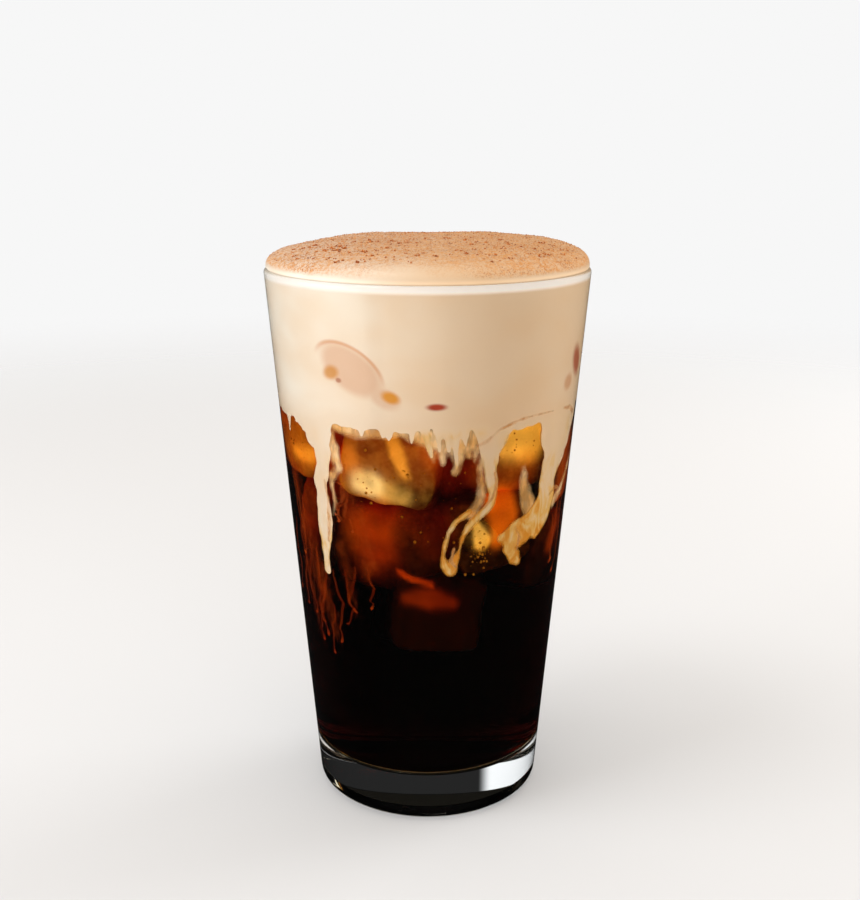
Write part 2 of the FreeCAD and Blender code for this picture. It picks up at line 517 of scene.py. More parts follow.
def pressed_in(points, film):
    """Points held inside the wall, with a film of coffee left between."""
    radius = np.hypot(points[:, 0], points[:, 1])
    limit = inner_radius(points[:, 2]) - film
    over = np.clip((radius - limit) / ICE_PRESS, -30, 30)
    kept = limit - ICE_PRESS * np.log1p(np.exp(-over))
    points[:, :2] *= (kept / np.maximum(radius, 1e-6))[:, None]
    return points


def ice_cube(angle, height, distance, size, film, lean, roll, spin, seed):
    """A melting cube: rounded, with a wavy skin, pressed against the film at the wall."""
    points, faces = cube_skin(ICE_STEPS)
    reach = (np.abs(points) ** ICE_FULLNESS).sum(-1) ** (1 / ICE_FULLNESS)
    points = points / reach[:, None]
    points = points * (1 + ICE_HOLLOWS * smooth_noise(points * size, 15, seed)[:, None]
                       + ICE_DIMPLES * smooth_noise(points * size, 4, seed + 1)[:, None])
    points = points * size / 2
    turns = Euler([math.radians(lean), math.radians(roll), math.radians(spin)], "ZYX")
    turn = np.array(Euler((0, 0, math.radians(angle))).to_matrix() @ turns.to_matrix())
    return pressed_in(points @ turn.T + around(angle, distance, height), film), faces


def angle_of(points):
    return np.degrees(np.arctan2(points[:, 0], -points[:, 1]))


def glow_at(points):
    """Colour of the painted glow of the light caught in the ice at each point, as it comes through
    the coffee.
    """
    angle, height = angle_of(points), points[:, 2]
    inset = inner_radius(height) - np.hypot(points[:, 0], points[:, 1])
    near = np.clip(1.3 - inset / GLOW_FADE, 0, 1)
    total = np.zeros((len(points), 3))
    for stations, soft, strength, passed in GLOWS:
        gap = np.clip(near_strand(angle, height, stations), 0, None)
        tint = np.exp(-np.array(coffee_loss()) * passed) + GLOW_HAZE
        total += (strength * np.exp(-(gap / soft) ** 2) * near)[:, None] * tint
    return total * (1 + GLOW_UNEVEN * smooth_noise(points, 5, 77)[:, None])


def ice_material():
    make = shade("melting_ice")
    cloud = make.noise(6, 3, 0.6, seed=2)
    z = make.place()[2]
    white = make.blend(cloud.between(0.35, 0.7) * z.between(66, 96) * 0.9 + 0.02,
                       (0.05, 0.045, 0.04), (0.55, 0.52, 0.48))
    # the ice glows with painted light from its glow mark
    return make.dressed({
        "Base Color": white, "Roughness": 0.28, "IOR": 1.31,
        "Emission Color": make.mark("glow", "Color"), "Emission Strength": 1.0})


def make_ice():
    mesh = Mesh()
    for number, cube in enumerate(ICE_CUBES):
        mesh.take(*ice_cube(*cube, seed=20 + 2 * number))
    piece = add_piece("ice_cubes", mesh, ice_material())
    paint(piece, "glow", glow_at(mesh.all_points()))


# ---------------- bubbles

# clusters of air bubbles: angle and height of the middle, spread in mm, count, inset
BUBBLES = [
    (-24, 98, 7, 16, 0.7), (-10, 101, 5, 10, 0.8), (37, 104.5, 6, 14, 0.8),
    (23, 78.2, 3.4, 46, 0.6), (20, 83, 3, 14, 0.7), (8, 98, 8, 10, 1),
    (0, 88, 9, 12, 1), (112, 103, 7, 16, 0.8), (-160, 104, 7, 16, 0.8),
    (-118, 100, 7, 12, 0.8), (150, 98, 7, 14, 0.8), (-64, 104, 5, 8, 0.8),
]
BUBBLE_LEAST = 0.12
BUBBLE_EXTRA = 0.34
BALL_RINGS = 6
BALL_SIDES = 8


def ball(middle, radius):
    path = [(0, -radius)]
    for step in range(1, BALL_RINGS):
        turn = math.pi * step / BALL_RINGS
        path.append((radius * math.sin(turn), -radius * math.cos(turn)))
    points, faces = turned(path + [(0, radius)], BALL_SIDES)
    return points + middle, faces


def make_bubbles():
    draw = np.random.default_rng(9)
    mesh = Mesh()
    for angle, height, spread, count, inset in BUBBLES:
        for _ in range(count):
            side, up = draw.normal(size=2) * spread / 2
            radius = BUBBLE_LEAST + BUBBLE_EXTRA * draw.random() ** 3
            level = height + up
            middle = around(angle + side / DEGREE, inner_radius(level) - inset - radius, level)
            mesh.take(*ball(middle, radius))
    make = shade("air_bubbles")
    # painted highlight and shade: each bubble is amber where it faces the eye and dark round its rim
    edge = make.add("ShaderNodeLayerWeight", {}, {0: 0.35}, out="Facing")
    tint = make.blend(edge.between(0.25, 0.75), (0.9, 0.55, 0.15), (0.03, 0.008, 0.004))
    skin = make.dressed({"Base Color": tint, "Roughness": 0.08, "IOR": 1.33})
    add_piece("air_bubbles", mesh, skin)


# ---------------- cream

# angle round the glass and height of the foam's lower edge where it meets the wall
FOAM_EDGE = [
    (-180, 113), (-150, 113.8), (-125, 112.4), (-100, 113.2), (-74, 111.4), (-56, 112.3),
    (-38, 112.8), (-21, 112.6), (-10, 112.6), (0, 113.3), (12, 113.6), (19, 114),
    (27, 112.6), (36, 112.2), (46, 112.3), (52, 113.6), (69, 114.1), (95, 114.8), (120, 113.4),
    (150, 114.2), (180, 113),
]

# runs of cream inside the wall: (angle, height, width) down each one
LEFT_RUN = [
    (-47, 112.5, 15), (-46, 110, 10), (-44.6, 107.3, 5.6), (-44.1, 105.5, 5.9), (-44.5, 101, 4.4),
    (-46.8, 96, 4.8), (-46.5, 93.6, 4.1), (-45.8, 88.8, 5.2), (-45.9, 85.5, 5.9),
    (-46.4, 81.3, 5), (-47, 77.8, 3.4), (-47.3, 74.8, 2.4), (-47.3, 71.6, 2.4),
]
MIDDLE_RUN = [
    (25, 113.5, 12), (24.9, 110.5, 8.4), (24.2, 105.8, 4.9), (24.4, 101.8, 3.7), (25.2, 99, 3.3),
    (26.5, 95.5, 2.4), (25.9, 92.8, 2.3), (23.4, 91, 2.6), (19.4, 89, 2.4), (16, 86.4, 1.9),
    (14.3, 84.2, 1.5), (13.3, 81.9, 1.4), (12.2, 79.5, 1.7), (10.8, 77.4, 2.2), (9.4, 75.6, 4),
]
MIDDLE_STRAND = [
    (16.6, 91.2, 1.4), (11.4, 88.6, 1.5), (8.4, 85.6, 1.3), (6.9, 82, 1.1), (6.2, 79, 1.2),
    (6.9, 76.6, 2.2),
]
RIGHT_RUN = [
    (62, 112, 21), (61, 108.5, 17), (60, 104, 12.4), (57, 100, 9), (55.2, 95, 7.2),
    (56, 90.5, 8.4), (52.5, 87.3, 9), (47.5, 84.8, 8.4), (40.5, 83, 8), (36.5, 81.4, 6.4),
    (35.4, 79.2, 4.6), (38.2, 76.6, 4), (40.4, 75, 2.6),
]
RIGHT_LOBE = [(54, 87, 6.5), (50.6, 82.6, 5), (50, 81.6, 3.6)]
RIGHT_TIP = [(36, 83, 5), (31.4, 82.6, 2.8)]
REAR_LEFT_RUN = [
    (-118, 113.5, 13), (-117, 108.5, 7), (-118.4, 101.5, 4.6), (-120, 93.5, 4.6),
    (-119.2, 86.5, 4), (-118.4, 81.5, 2.8),
]
REAR_RUN = [
    (166, 113.5, 16), (168, 107.5, 8.4), (170.5, 99.5, 5.4), (172, 91.5, 5),
    (170.6, 83.5, 5.6), (168, 76.5, 4.2), (166.6, 71, 2.8),
]
REAR_RIGHT_RUN = [
    (118, 113.5, 13), (119.5, 107.5, 6.2), (122, 100.5, 3.8), (123.5, 93.5, 3.4),
    (122.4, 88.5, 4.2),
]
RUNS = [LEFT_RUN, MIDDLE_RUN, MIDDLE_STRAND, RIGHT_RUN, RIGHT_LOBE, RIGHT_TIP,
        REAR_LEFT_RUN, REAR_RUN, REAR_RIGHT_RUN]

# short drips of the foam's edge: (angle at the root, angle and height of the tip, width)
DRIPS = [
    (-66, -66.6, 107.6, 1.4), (-59, -59.9, 110.2, 1.2), (-54, -54.8, 109.2, 1.5),
    (-24.4, -24.7, 110.9, 1.2), (-16.3, -16.4, 110.9, 1.2), (-13.6, -14.2, 110.4, 1.5),
    (-5.6, -5.7, 109.6, 1.1), (-0.9, 1.6, 106.2, 1.3), (3.7, 4.5, 107.7, 1.5),
    (6.8, 7.9, 107.6, 1.6), (9.9, 11, 102.9, 1.4), (13.6, 14.2, 108.5, 1.5),
]

# colours of the cream, with painted light and shade on its two sides, of what shows through it and of
# what lies on it
CREAM_LIT_PALE = tone(250, 242, 228)
CREAM_SHADED_TAN = tone(240, 212, 178)
CREAM_WARM = tone(233, 190, 138)
ICE_PINK = tone(226, 184, 152)
AMBER = tone(214, 132, 58)
SPICE_TAN = tone(206, 146, 84)
SPICE_BROWN = tone(150, 82, 42)

# spots where ice touches the wall behind the foam: place, half sizes, turn, share, colour
ICE_SPOTS = [
    ((-36.2, 126.4), 2.6, 2, 20, 0.85, tone(216, 148, 66)),
    ((-33, 124.6), 0.9, 0.7, 0, 0.7, tone(176, 96, 60)),
    ((-13, 121.2), 2.6, 1.7, -20, 0.95, tone(226, 150, 40)),
    ((3.3, 119), 2.7, 1, 0, 1, tone(176, 62, 32)),
    ((71, 126), 3, 5, 25, 0.9, tone(176, 84, 50)),
    ((64, 121), 2.6, 2.4, 20, 0.6, tone(206, 138, 88)),
    ((128, 127), 3.2, 2.2, 20, 0.8, tone(220, 150, 70)),
    ((-150, 124), 4, 2.4, -20, 0.7, tone(206, 134, 70)),
    ((175, 129), 2.4, 1.6, 10, 0.8, tone(186, 84, 50)),
]

CREAM_CELL = 0.38
CREAM_TOP = 119.5
CREAM_BOTTOM = 66.0
RUN_FILLET = 1.6
DRIP_FILLET = 0.9
STRAND_FILLET = 0.8
THIN_BELOW = FOAM_LEVEL + 1.0
THIN_LENGTH = 34
THIN_START = 3
THIN_SHARES = [(-180, 0.6), (-90, 0.4), (-40, 0.30), (0, 0.75), (10, 1.0), (35, 1.0), (60, 0.62),
               (90, 0.5), (180, 0.6)]
# mm along the wall for each degree round it, the radius at which edges take their noise, and
# a distance larger than any on the glass
DEGREE = 0.665
NOISE_RADIUS = 40.0
FAR = 1e3


def near_strand(angle, height, stations):
    """Distance in mm along the wall to a tapering strand, negative inside it."""
    nearest = np.full(angle.shape, FAR)
    for (a0, z0, w0), (a1, z1, w1) in zip(stations, stations[1:]):
        across, along = (a1 - a0) * DEGREE, z1 - z0
        from_start = ((angle - a0 + 180) % 360 - 180) * DEGREE
        share = (from_start * across + (height - z0) * along) / (across ** 2 + along ** 2)
        share = np.clip(share, 0, 1)
        gap = np.hypot(from_start - share * across, height - z0 - share * along)
        nearest = np.minimum(nearest, gap - (w0 + share * (w1 - w0)) / 2)
    return nearest


def soft_union(first, second, soft):
    """The union of two shapes given by distances, with a fillet of about soft mm."""
    overlap = np.clip(soft - np.abs(first - second), 0, None) / soft
    return np.minimum(first, second) - overlap ** 2 * soft / 4


def cream_thinness(points):
    """How thin the cream is at each point, from 0 to 1: more so further down a run."""
    share = np.interp(angle_of(points), *zip(*THIN_SHARES))
    below = THIN_BELOW - points[:, 2]
    down = np.clip(below / THIN_LENGTH, 0, 1)
    start = np.clip(below / THIN_START, 0, 1)
    drift = 0.22 * smooth_noise(points, 5, 41)
    return np.clip(share * (down * 0.95 + start * (0.12 + drift)), 0, 1)


def cream_shape(angle, height):
    """Distance to the outline of all cream on the wall, negative inside it."""
    points = around(angle, NOISE_RADIUS, height)
    wobble = 0.22 * smooth_noise(points, 3.2, 5) + 0.10 * smooth_noise(points, 1.3, 6)
    edge = tuple(zip(*FOAM_EDGE))
    shape = np.interp(angle, *edge) - height + 0.5 * smooth_noise(points, 7, 7)
    for stations in RUNS:
        shape = soft_union(shape, near_strand(angle, height, stations), RUN_FILLET)
    for root, tip, low, width in DRIPS:
        top = np.interp(root, *edge)
        strand = [(root, top + 0.5, width * 1.9), ((root + tip) / 2, (top + low) / 2, width),
                  (tip, low, width * 0.45)]
        shape = soft_union(shape, near_strand(angle, height, strand), DRIP_FILLET)
    return np.maximum(shape + wobble, height - CREAM_TOP)


def wall_skin(outline, low, high, cell, reach, fullness=1.5, deepest=3.0):
    """A closed skin on the inner wall that tapers to nothing at its outline.

    outline gives the distance to it for arrays of angles and heights, negative inside; reach
    is how far the skin goes into the wall.  Also returns each point's depth inside the outline.
    """
    columns = round(360 * DEGREE / cell)
    angles = -180 + np.arange(columns) * 360 / columns
    heights = np.arange(low, high + cell, cell)
    shape = outline(*np.meshgrid(angles, heights, indexing="ij"))
    shape[:, 0] = shape[:, -1] = 1.0
    points, faces, depths = [], [], []
    index = {}

    def point(key, angle, height, depth, inset):
        if key not in index:
            index[key] = len(points)
            points.append(around(angle, inner_radius(height) + reach - inset, height))
            depths.append(depth)
        return index[key]

    def side(i, j, k, m, inward):
        """A corner of a cell, and where the outline crosses the side to the next corner."""
        here, there = shape[i % columns, j], shape[k % columns, m]
        ring = []
        if here < 0:
            inset = min(fullness * math.sqrt(-here), deepest) if inward else 0.0
            ring.append(point((i % columns, j, inward), angles[i % columns], heights[j],
                              0.0 if inward else -here, inset))
        if (here < 0) != (there < 0):
            share = here / (here - there)
            angle = -180 + (i + share * (k - i)) * 360 / columns
            height = heights[j] + share * (heights[m] - heights[j])
            ring.append(point(frozenset(((i % columns, j), (k % columns, m))),
                              angle, height, 0.0, 0.0))
        return ring

    inside = shape < 0
    inside = np.concatenate([inside, inside[:1]])
    near = inside[:-1, :-1] | inside[1:, :-1] | inside[:-1, 1:] | inside[1:, 1:]
    for i, j in zip(*np.nonzero(near)):
        cell_corners = [(i, j), (i + 1, j), (i + 1, j + 1), (i, j + 1)]
        for inward in (False, True):
            face = []
            for (a, b), (c, d) in zip(cell_corners, cell_corners[1:] + cell_corners[:1]):
                face += side(a, b, c, d, inward)
            if len(face) > 2:
                faces.append(tuple(reversed(face)) if inward else tuple(face))
    return np.array(points), faces, np.array(depths)


DOME_EDGE = RIM_RADIUS - RIM_WALL / 2
DOME_WIDEST = DOME_EDGE + DOME_OVERHANG
LUMPS_FULL = 4
BODY_LOW = 117.0
BODY_SIDES = 320
WALL_ROWS = 24
WALL_STOP = 1.4
TUCK = 0.12
TUCK_HEIGHT = 2.4
LIP_SWELL = 1.2
LIP_FLAT = 0.75
LIP_DROP = 1.35
QUARTER_ROWS = 90
CROWN_ROWS = 60
FULL_DEPTH = 9.0


def dome_height(radius):
    """Height of the foam's even crown at a distance from the axis."""
    share = np.clip(radius / DOME_WIDEST, 0, 1)
    rise = DOME_TOP - HEIGHT - DOME_OVERHANG
    cosine = share ** (DOME_FULLNESS / 2)
    up = np.sqrt(1 - cosine ** 2) ** DOME_SHOULDER
    return HEIGHT + DOME_OVERHANG + rise * up


def dome_lift(points):
    """How far the crown's lumps and its lean lift each point of it."""
    over = np.clip((points[..., 2] - HEIGHT - DOME_OVERHANG) / LUMPS_FULL, 0, 1)
    lumps = 0.30 * smooth_noise(points, 16, 31) + 0.10 * smooth_noise(points, 5, 32)
    return over * (lumps + DOME_LEAN * points[..., 0] / RIM_RADIUS)


def foam_body():
    """The foam from just over its lower edge up to the dome."""
    path = [(0, BODY_LOW + 1.0), (20, BODY_LOW + 0.6), (inner_radius(BODY_LOW) - 3, BODY_LOW)]
    for height in np.linspace(BODY_LOW, HEIGHT - WALL_STOP, WALL_ROWS):
        tuck = TUCK * max(0.0, 1 - (height - BODY_LOW) / TUCK_HEIGHT)
        path.append((inner_radius(height) + FOAM_REACH - tuck, height))
    turns = [math.radians(15 * step) for step in range(1, 7)]
    for turn in turns:
        path.append((DOME_EDGE - LIP_SWELL * math.cos(turn) * LIP_FLAT,
                     HEIGHT - LIP_DROP + LIP_SWELL * math.sin(turn)))
    for turn in turns:
        path.append((DOME_EDGE + DOME_OVERHANG * math.sin(turn),
                     HEIGHT + DOME_OVERHANG * (1 - math.cos(turn))))
    crown = []
    for step in range(1, QUARTER_ROWS // 2):
        share = math.cos(math.pi / 2 * step / QUARTER_ROWS) ** (2 / DOME_FULLNESS)
        crown.append(DOME_WIDEST * share)
    start = crown[-1]
    for step in range(1, CROWN_ROWS):
        crown.append(start * (1 - step / CROWN_ROWS))
    path.extend([(radius, float(dome_height(radius))) for radius in crown + [0]])
    points, faces = turned(path, BODY_SIDES)
    points[:, 2] += dome_lift(points)
    return points, faces


def spot(angle, height, place, across, up, turn):
    """How far inside an oval on the wall a point lies: 1 at its middle, 0 at its edge."""
    side = (angle - place[0]) * DEGREE
    rise = height - place[1]
    cosine, sine = math.cos(math.radians(turn)), math.sin(math.radians(turn))
    first = (side * cosine + rise * sine) / across
    second = (rise * cosine - side * sine) / up
    return 1 - (first * first + second * second) ** 0.5


def foam_colour(make):
    """Cream at the wall, paler on the left with painted light and tan on the right with painted shade
    and some coffee tint, tinted where it is thin, with spots where ice touches the wall.
    """
    x, y, z = make.place()
    angle = x.maths("ARCTAN2", 0 - y) * (180 / math.pi)
    # painted light and shade: the cream is paler on the left, towards the light, and tan on the
    # right, in shade, which also stands for some coffee tint
    side = (x / RIM_RADIUS).between(-0.85, 0.45)
    colour = make.blend(side, CREAM_LIT_PALE, CREAM_SHADED_TAN)
    drift = make.noise(24, 2, 0.5, stretch=(1, 1, 1.6), seed=3)
    colour = make.blend(drift.between(0.35, 0.75) * 0.35, colour, CREAM_WARM)
    low = 1 - z.between(112, 120)
    colour = make.blend(low * 0.25, colour, CREAM_WARM)

    # ice showing through the foam behind the wall
    pane = spot(angle, z, (-28.0, 127.5), 9.6, 5.6, -34)
    narrow = spot(angle, z, (-15.5, 121.0), 5.0, 3.0, -30)
    pane = pane.between(-0.12, 0.30).maths("MAXIMUM", narrow.between(-0.1, 0.5) * 0.8)
    colour = make.blend(pane * 0.75, colour, ICE_PINK)
    bow = spot(angle, z, (-29.5, 126.4), 9.8, 6.8, -32)
    line = 1 - (bow + 0.02).maths("ABSOLUTE").between(0.0, 0.11)
    line = line * (z + angle * 0.25).between(119, 125)
    colour = make.blend(line * 0.55, colour, AMBER)
    for place, across, up, turn, share, tint in ICE_SPOTS:
        mask = spot(angle, z, place, across, up, turn).between(-0.25, 0.55) * share
        colour = make.blend(mask, colour, tint)
    return colour, x, y, z


def foam_material():
    make = shade("cream_foam")
    colour, x, y, z = foam_colour(make)

    # runs and edges: golden where the cream is thin
    depth = make.mark("depth")
    thin = make.mark("thin")
    fine = make.noise(2.2, 3, 0.6, stretch=(1, 1, 0.35), seed=8, bend=0.6)
    edge = 1 - depth.between(0.0, 0.9)
    swirl = make.noise(3.4, 3, 0.6, stretch=(1, 1, 0.4), seed=9, bend=1.4).between(0.3, 0.7)
    gold = (thin * (0.45 + 0.75 * swirl) + (fine - 0.5) * 0.7 * thin + edge * 0.4 * thin).limited()
    solid = 1 - (1 - depth.between(0.0, 0.75)) * thin.between(0.25, 0.7) * (0.5 + 0.4 * fine)
    golden = make.add("ShaderNodeValToRGB", {"stops": [
        (0.0, tone(244, 222, 190)), (0.35, tone(240, 204, 152)), (0.65, tone(238, 186, 98)),
        (1.0, tone(226, 146, 40))]}, {0: gold})
    colour = make.blend((gold * 2.2).limited(), colour, golden)

    # painted highlight and glow: the bright band that the glass's rounded lip throws on the foam
    lip_highlight = z.between(HEIGHT - 2.7, HEIGHT - 1.4) * (1 - z.between(HEIGHT - 0.5, HEIGHT + 0.1))
    colour = make.blend(lip_highlight * 0.85, colour, tone(255, 253, 250))
    lip_glow = make.blend(lip_highlight, (0, 0, 0), (0.16, 0.15, 0.14))

    # painted shade: the crown is made a little darker than the foam at the wall, where more light
    # falls on it from above
    crown = z.between(HEIGHT + 0.2, HEIGHT + 1.6)
    colour = make.blend(crown * 0.25, colour, (0, 0, 0))

    # ground spice over the dome
    top = z.between(HEIGHT + 1.0, HEIGHT + 2.4)
    back = (y + 0.10 * x + 8 * (make.noise(9, 3, 0.6, seed=11) - 0.5)).between(-45, -33)
    specks = make.noise(0.9, 3, 0.7, seed=12).between(0.42, 0.60)
    grains = make.noise(0.35, 2, 0.6, seed=13).between(0.52, 0.62)
    dust = top * back * (0.35 + 0.65 * specks)
    colour = make.blend(dust * 0.95, colour, SPICE_TAN)
    patches = make.noise(7, 4, 0.65, seed=14).between(0.45, 0.65)
    colour = make.blend(top * back * grains * (0.35 + 0.5 * patches), colour, SPICE_BROWN)

    bumps = make.noise(0.6, 3, 0.65, seed=15) * dust + 0.25 * make.noise(2.5, 2, 0.5, seed=16)
    relief = make.add("ShaderNodeBump", {}, {
        "Strength": 0.35, "Distance": 0.0003, "Height": bumps}, out="Normal")
    return make.dressed({
        "Base Color": colour, "Roughness": 0.34 + 0.4 * dust, "IOR": 1.4, "Normal": relief,
        "Alpha": solid, "Emission Color": lip_glow, "Emission Strength": 1.0})


def make_foam():
    mesh = Mesh()
    mesh.take(*foam_body(), depth=FULL_DEPTH, thin=0.0)
    points, faces, depths = wall_skin(cream_shape, CREAM_BOTTOM, CREAM_TOP + 1, CREAM_CELL,
                                      CREAM_REACH)
    mesh.take(points, faces, depth=depths, thin=cream_thinness(points))
    add_piece("cream_foam_and_runs", mesh, foam_material(), "cream_foam", crease=45)


# thin cream that lets the coffee show through, as strands of (angle, height, width)
VEILS = [
    [(-40, 112.6, 3), (-31, 112.2, 4.4), (-23, 111.8, 4.6), (-15, 112, 3.6), (-6, 112.6, 3)],
    [(-41, 111, 4.6), (-38.2, 106.8, 5), (-36.4, 101.6, 3.4), (-38.6, 98.6, 2)],
    [(-40.6, 99, 2.6), (-39.4, 92, 2), (-40.4, 88, 1.2)],
    [(-4, 111.8, 5.4), (5, 110.4, 7.4), (14, 110.6, 8), (24, 110.4, 7)],
    [(1.6, 108, 3), (2.2, 104.8, 1.6)], [(5, 108, 3.2), (5.8, 104.6, 1.8)],
    [(9, 107.6, 3), (9.6, 105, 1.6)], [(12.4, 108, 3.6), (10.8, 102.4, 2.6)],
    [(15, 108.5, 3.2), (15.8, 105.6, 2)], [(18.6, 108.5, 3.6), (17.8, 104.8, 2.2)],
    [(21.6, 107, 3.2), (20.4, 102.6, 2.4), (21.2, 97.8, 2.6), (20.6, 93.4, 3.6), (17.4, 90.4, 3.8)],
    [(39.4, 101, 2.2), (40.6, 97, 3.6), (43, 92, 5.4), (46, 88.6, 5.6)],
    [(62, 88.4, 4), (69, 91, 3.6), (76, 96, 2.8), (84, 101, 2.6)],
    [(-119, 104, 3.6), (-114, 99, 3), (-112, 94, 2)],
    [(-135, 113, 4), (-145, 112, 5), (-155, 112.4, 4)],
    [(140, 113, 5), (150, 111.6, 6), (158, 112, 5)],
    [(176, 104, 3.6), (179, 98, 3), (177, 93, 2)],
    [(88, 114, 4), (98, 112.6, 5.6), (108, 112.6, 4.4)],
]

# lines of coffee caught on the cream's face
THREADS = [
    [(18.5, 108.6, 1), (22.5, 109.6, 1), (27.3, 112.2, 0.9), (35.9, 114.1, 0.8),
     (44, 114.6, 0.7), (54, 114.4, 0.6)],
    [(62, 114.2, 0.8), (69, 113.6, 1.4), (74, 111.6, 1.6)],
    [(-44, 97, 0.8), (-42.8, 92, 1.2), (-43.6, 86, 1.4), (-44.8, 80, 1)],
    [(26.2, 101, 0.8), (27.2, 97.6, 1), (26.2, 94.2, 1.1), (22, 91.4, 0.9)],
    [(10.6, 81, 0.8), (9.6, 77.6, 1.2), (11.6, 76, 1)],
    [(38, 84.6, 0.8), (40.5, 81.6, 1.3), (39.6, 78.4, 1)],
    [(58, 91, 0.8), (62, 92.4, 1.4), (66, 91.6, 1)],
    [(168, 106, 0.8), (170, 99, 1.1), (171.5, 92, 0.9)],
    [(-118, 106, 0.8), (-119, 98, 1), (-119.6, 91, 0.9)],
]

# cream hanging in the coffee as haze, as strands of (angle, height, width)
HAZES = [
    [(-38, 100, 8), (-34, 92, 9), (-28, 84, 12), (-26, 76, 10), (-28, 70, 5)],
    [(-70, 98, 9), (-66, 88, 8), (-62, 78, 12), (-56, 68, 12), (-50, 58, 8), (-46, 50, 3)],
    [(-40, 78, 7), (-36, 68, 6), (-34, 60, 3)],
    [(-68, 70, 7), (-62, 58, 6), (-58, 48, 3)],
    [(70, 94, 7), (72, 84, 6), (74, 74, 4)],
    [(104, 96, 9), (102, 84, 9), (98, 74, 5)],
    [(140, 94, 9), (136, 82, 10), (132, 70, 5)],
    [(-164, 92, 9), (-160, 80, 10), (-154, 68, 5)],
    [(-136, 92, 9), (-130, 80, 10), (-126, 68, 5)],
    [(-104, 92, 9), (-98, 80, 10), (-94, 66, 5)],
]

# how far each thin skin goes into the wall; the haze hangs clear of it, in the coffee
VEIL_REACH = 0.22
THREAD_REACH = 0.29
HAZE_REACH = -1.5


def strands_shape(strands, rough, fine):
    """The outline of a set of strands with uneven edges, for wall_skin."""
    def shape(angle, height):
        points = around(angle, NOISE_RADIUS, height)
        nearest = np.full(angle.shape, FAR)
        for stations in strands:
            nearest = soft_union(nearest, near_strand(angle, height, stations), STRAND_FILLET)
        nearest = nearest + rough * smooth_noise(points, 2.4, 51)
        return nearest + fine * smooth_noise(points, 0.9, 52)
    return shape


def sheer_cream(name, colours, cover, softness, painted_glow, least=0.3):
    """Cream thin enough to see through: streaky, fading out towards its edges, and glowing with
    painted light.
    """
    make = shade(name)
    streaks = make.noise(2.0, 3, 0.6, stretch=(1, 1, 0.3), seed=21, bend=0.3).between(0.35, 0.68)
    body = make.noise(5.0, 2, 0.5, seed=22)
    colour = make.blend(body.between(0.35, 0.65), *colours)
    solid = make.mark("depth").between(-0.15, softness) * cover
    seen = solid * (least + (1.1 - least) * streaks)
    # the cream also glows in its own colour: painted light
    return make.dressed({
        "Base Color": colour, "Roughness": 0.4, "IOR": 1.38, "Alpha": seen.limited(),
        "Emission Color": colour, "Emission Strength": painted_glow})


def add_skin(name, slot, shape, look, low=CREAM_BOTTOM, high=CREAM_TOP, **skin):
    """A piece made of one thin skin on the wall."""
    points, faces, depths = wall_skin(shape, low, high, **skin)
    add_piece(name, Mesh().take(points, faces, depth=depths), look)


def make_sheer_cream():
    golden = (tone(242, 204, 150), tone(230, 172, 98))
    add_skin("cream_veils", "cream_foam", strands_shape(VEILS, 0.30, 0.10),
             sheer_cream("thin_cream", golden, cover=1.0, softness=1.8, painted_glow=0.06, least=0.5),
             cell=0.30, reach=VEIL_REACH, fullness=0.5, deepest=0.8)
    tan = (tone(224, 168, 104), tone(206, 140, 74))
    add_skin("coffee_threads", "dark_coffee", strands_shape(THREADS, 0.10, 0.08),
             sheer_cream("coffee_threads", tan, cover=0.7, softness=0.5, painted_glow=0.0),
             cell=0.20, reach=THREAD_REACH, fullness=0.1, deepest=0.08)
    russet = (tone(160, 72, 44), tone(186, 94, 52))
    add_skin("cream_haze", "cream_foam", strands_shape(HAZES, 1.0, 0.2),
             sheer_cream("hazy_cream", russet, cover=0.42, softness=5.0, painted_glow=0.6),
             low=40.0, high=106.0, cell=0.9, reach=HAZE_REACH, fullness=0.4, deepest=1.2)


# wisps of cream sinking in the coffee: angle, height and inset of the start, length, width
# and how much it sways
WISPS = [
    (-38, 100, 0.7, 15, 0.9, 1.6), (-37, 97, 0.9, 10, 0.7, 1.8), (-33, 96, 1.1, 12, 0.8, 1.2),
    (-35, 104, 0.6, 8, 0.7, 1.2), (-40, 95, 0.8, 8, 0.6, 1.6), (-73, 100, 0.9, 20, 0.8, 0.8),
    (-69, 98, 1, 26, 0.9, 0.8), (-64, 90, 1.2, 18, 0.7, 0.9), (-76, 82, 1.4, 22, 1, 0.9),
    (-70, 78, 1.7, 22, 1, 1), (-64, 76, 2, 20, 0.9, 1.1), (-58, 76, 2.2, 22, 0.9, 1.1),
    (-52, 74, 2, 24, 0.9, 1.2), (-46, 72, 2.3, 22, 0.8, 1.2), (-40, 72, 2.6, 16, 0.8, 1.2),
    (-34, 74, 2.6, 14, 0.8, 1.2), (-28, 74, 2.8, 12, 0.7, 1.2), (-56, 66, 2.4, 18, 0.8, 1.2),
    (-50, 62, 2.3, 16, 0.7, 1), (70, 92, 1, 22, 1, 0.8), (76, 90, 1, 24, 1, 0.8),
    (66, 84, 1.3, 14, 0.8, 0.9), (82, 86, 1.4, 18, 0.9, 1), (104, 98, 1.2, 24, 0.9, 1.2),
    (98, 92, 1.6, 22, 0.9, 1.2), (128, 90, 1.2, 20, 0.8, 1.2), (140, 96, 1.4, 24, 0.9, 1.2),
    (160, 88, 1.6, 22, 0.9, 1.2), (-172, 84, 1.8, 22, 0.9, 1.2), (-158, 92, 1.2, 22, 0.9, 1.2),
    (-140, 94, 1.2, 24, 0.9, 1.2), (-128, 84, 1.6, 22, 0.9, 1.2), (-110, 88, 1.4, 24, 0.9, 1.2),
    (-98, 94, 1.2, 24, 0.9, 1.2), (-90, 86, 1.6, 22, 0.9, 1.2),
]
WISP_STEPS = 40
WISP_SIDES = 8
WISP_FLAT = 0.55
DROP_AT = 0.97
DROP_LENGTH = 0.022


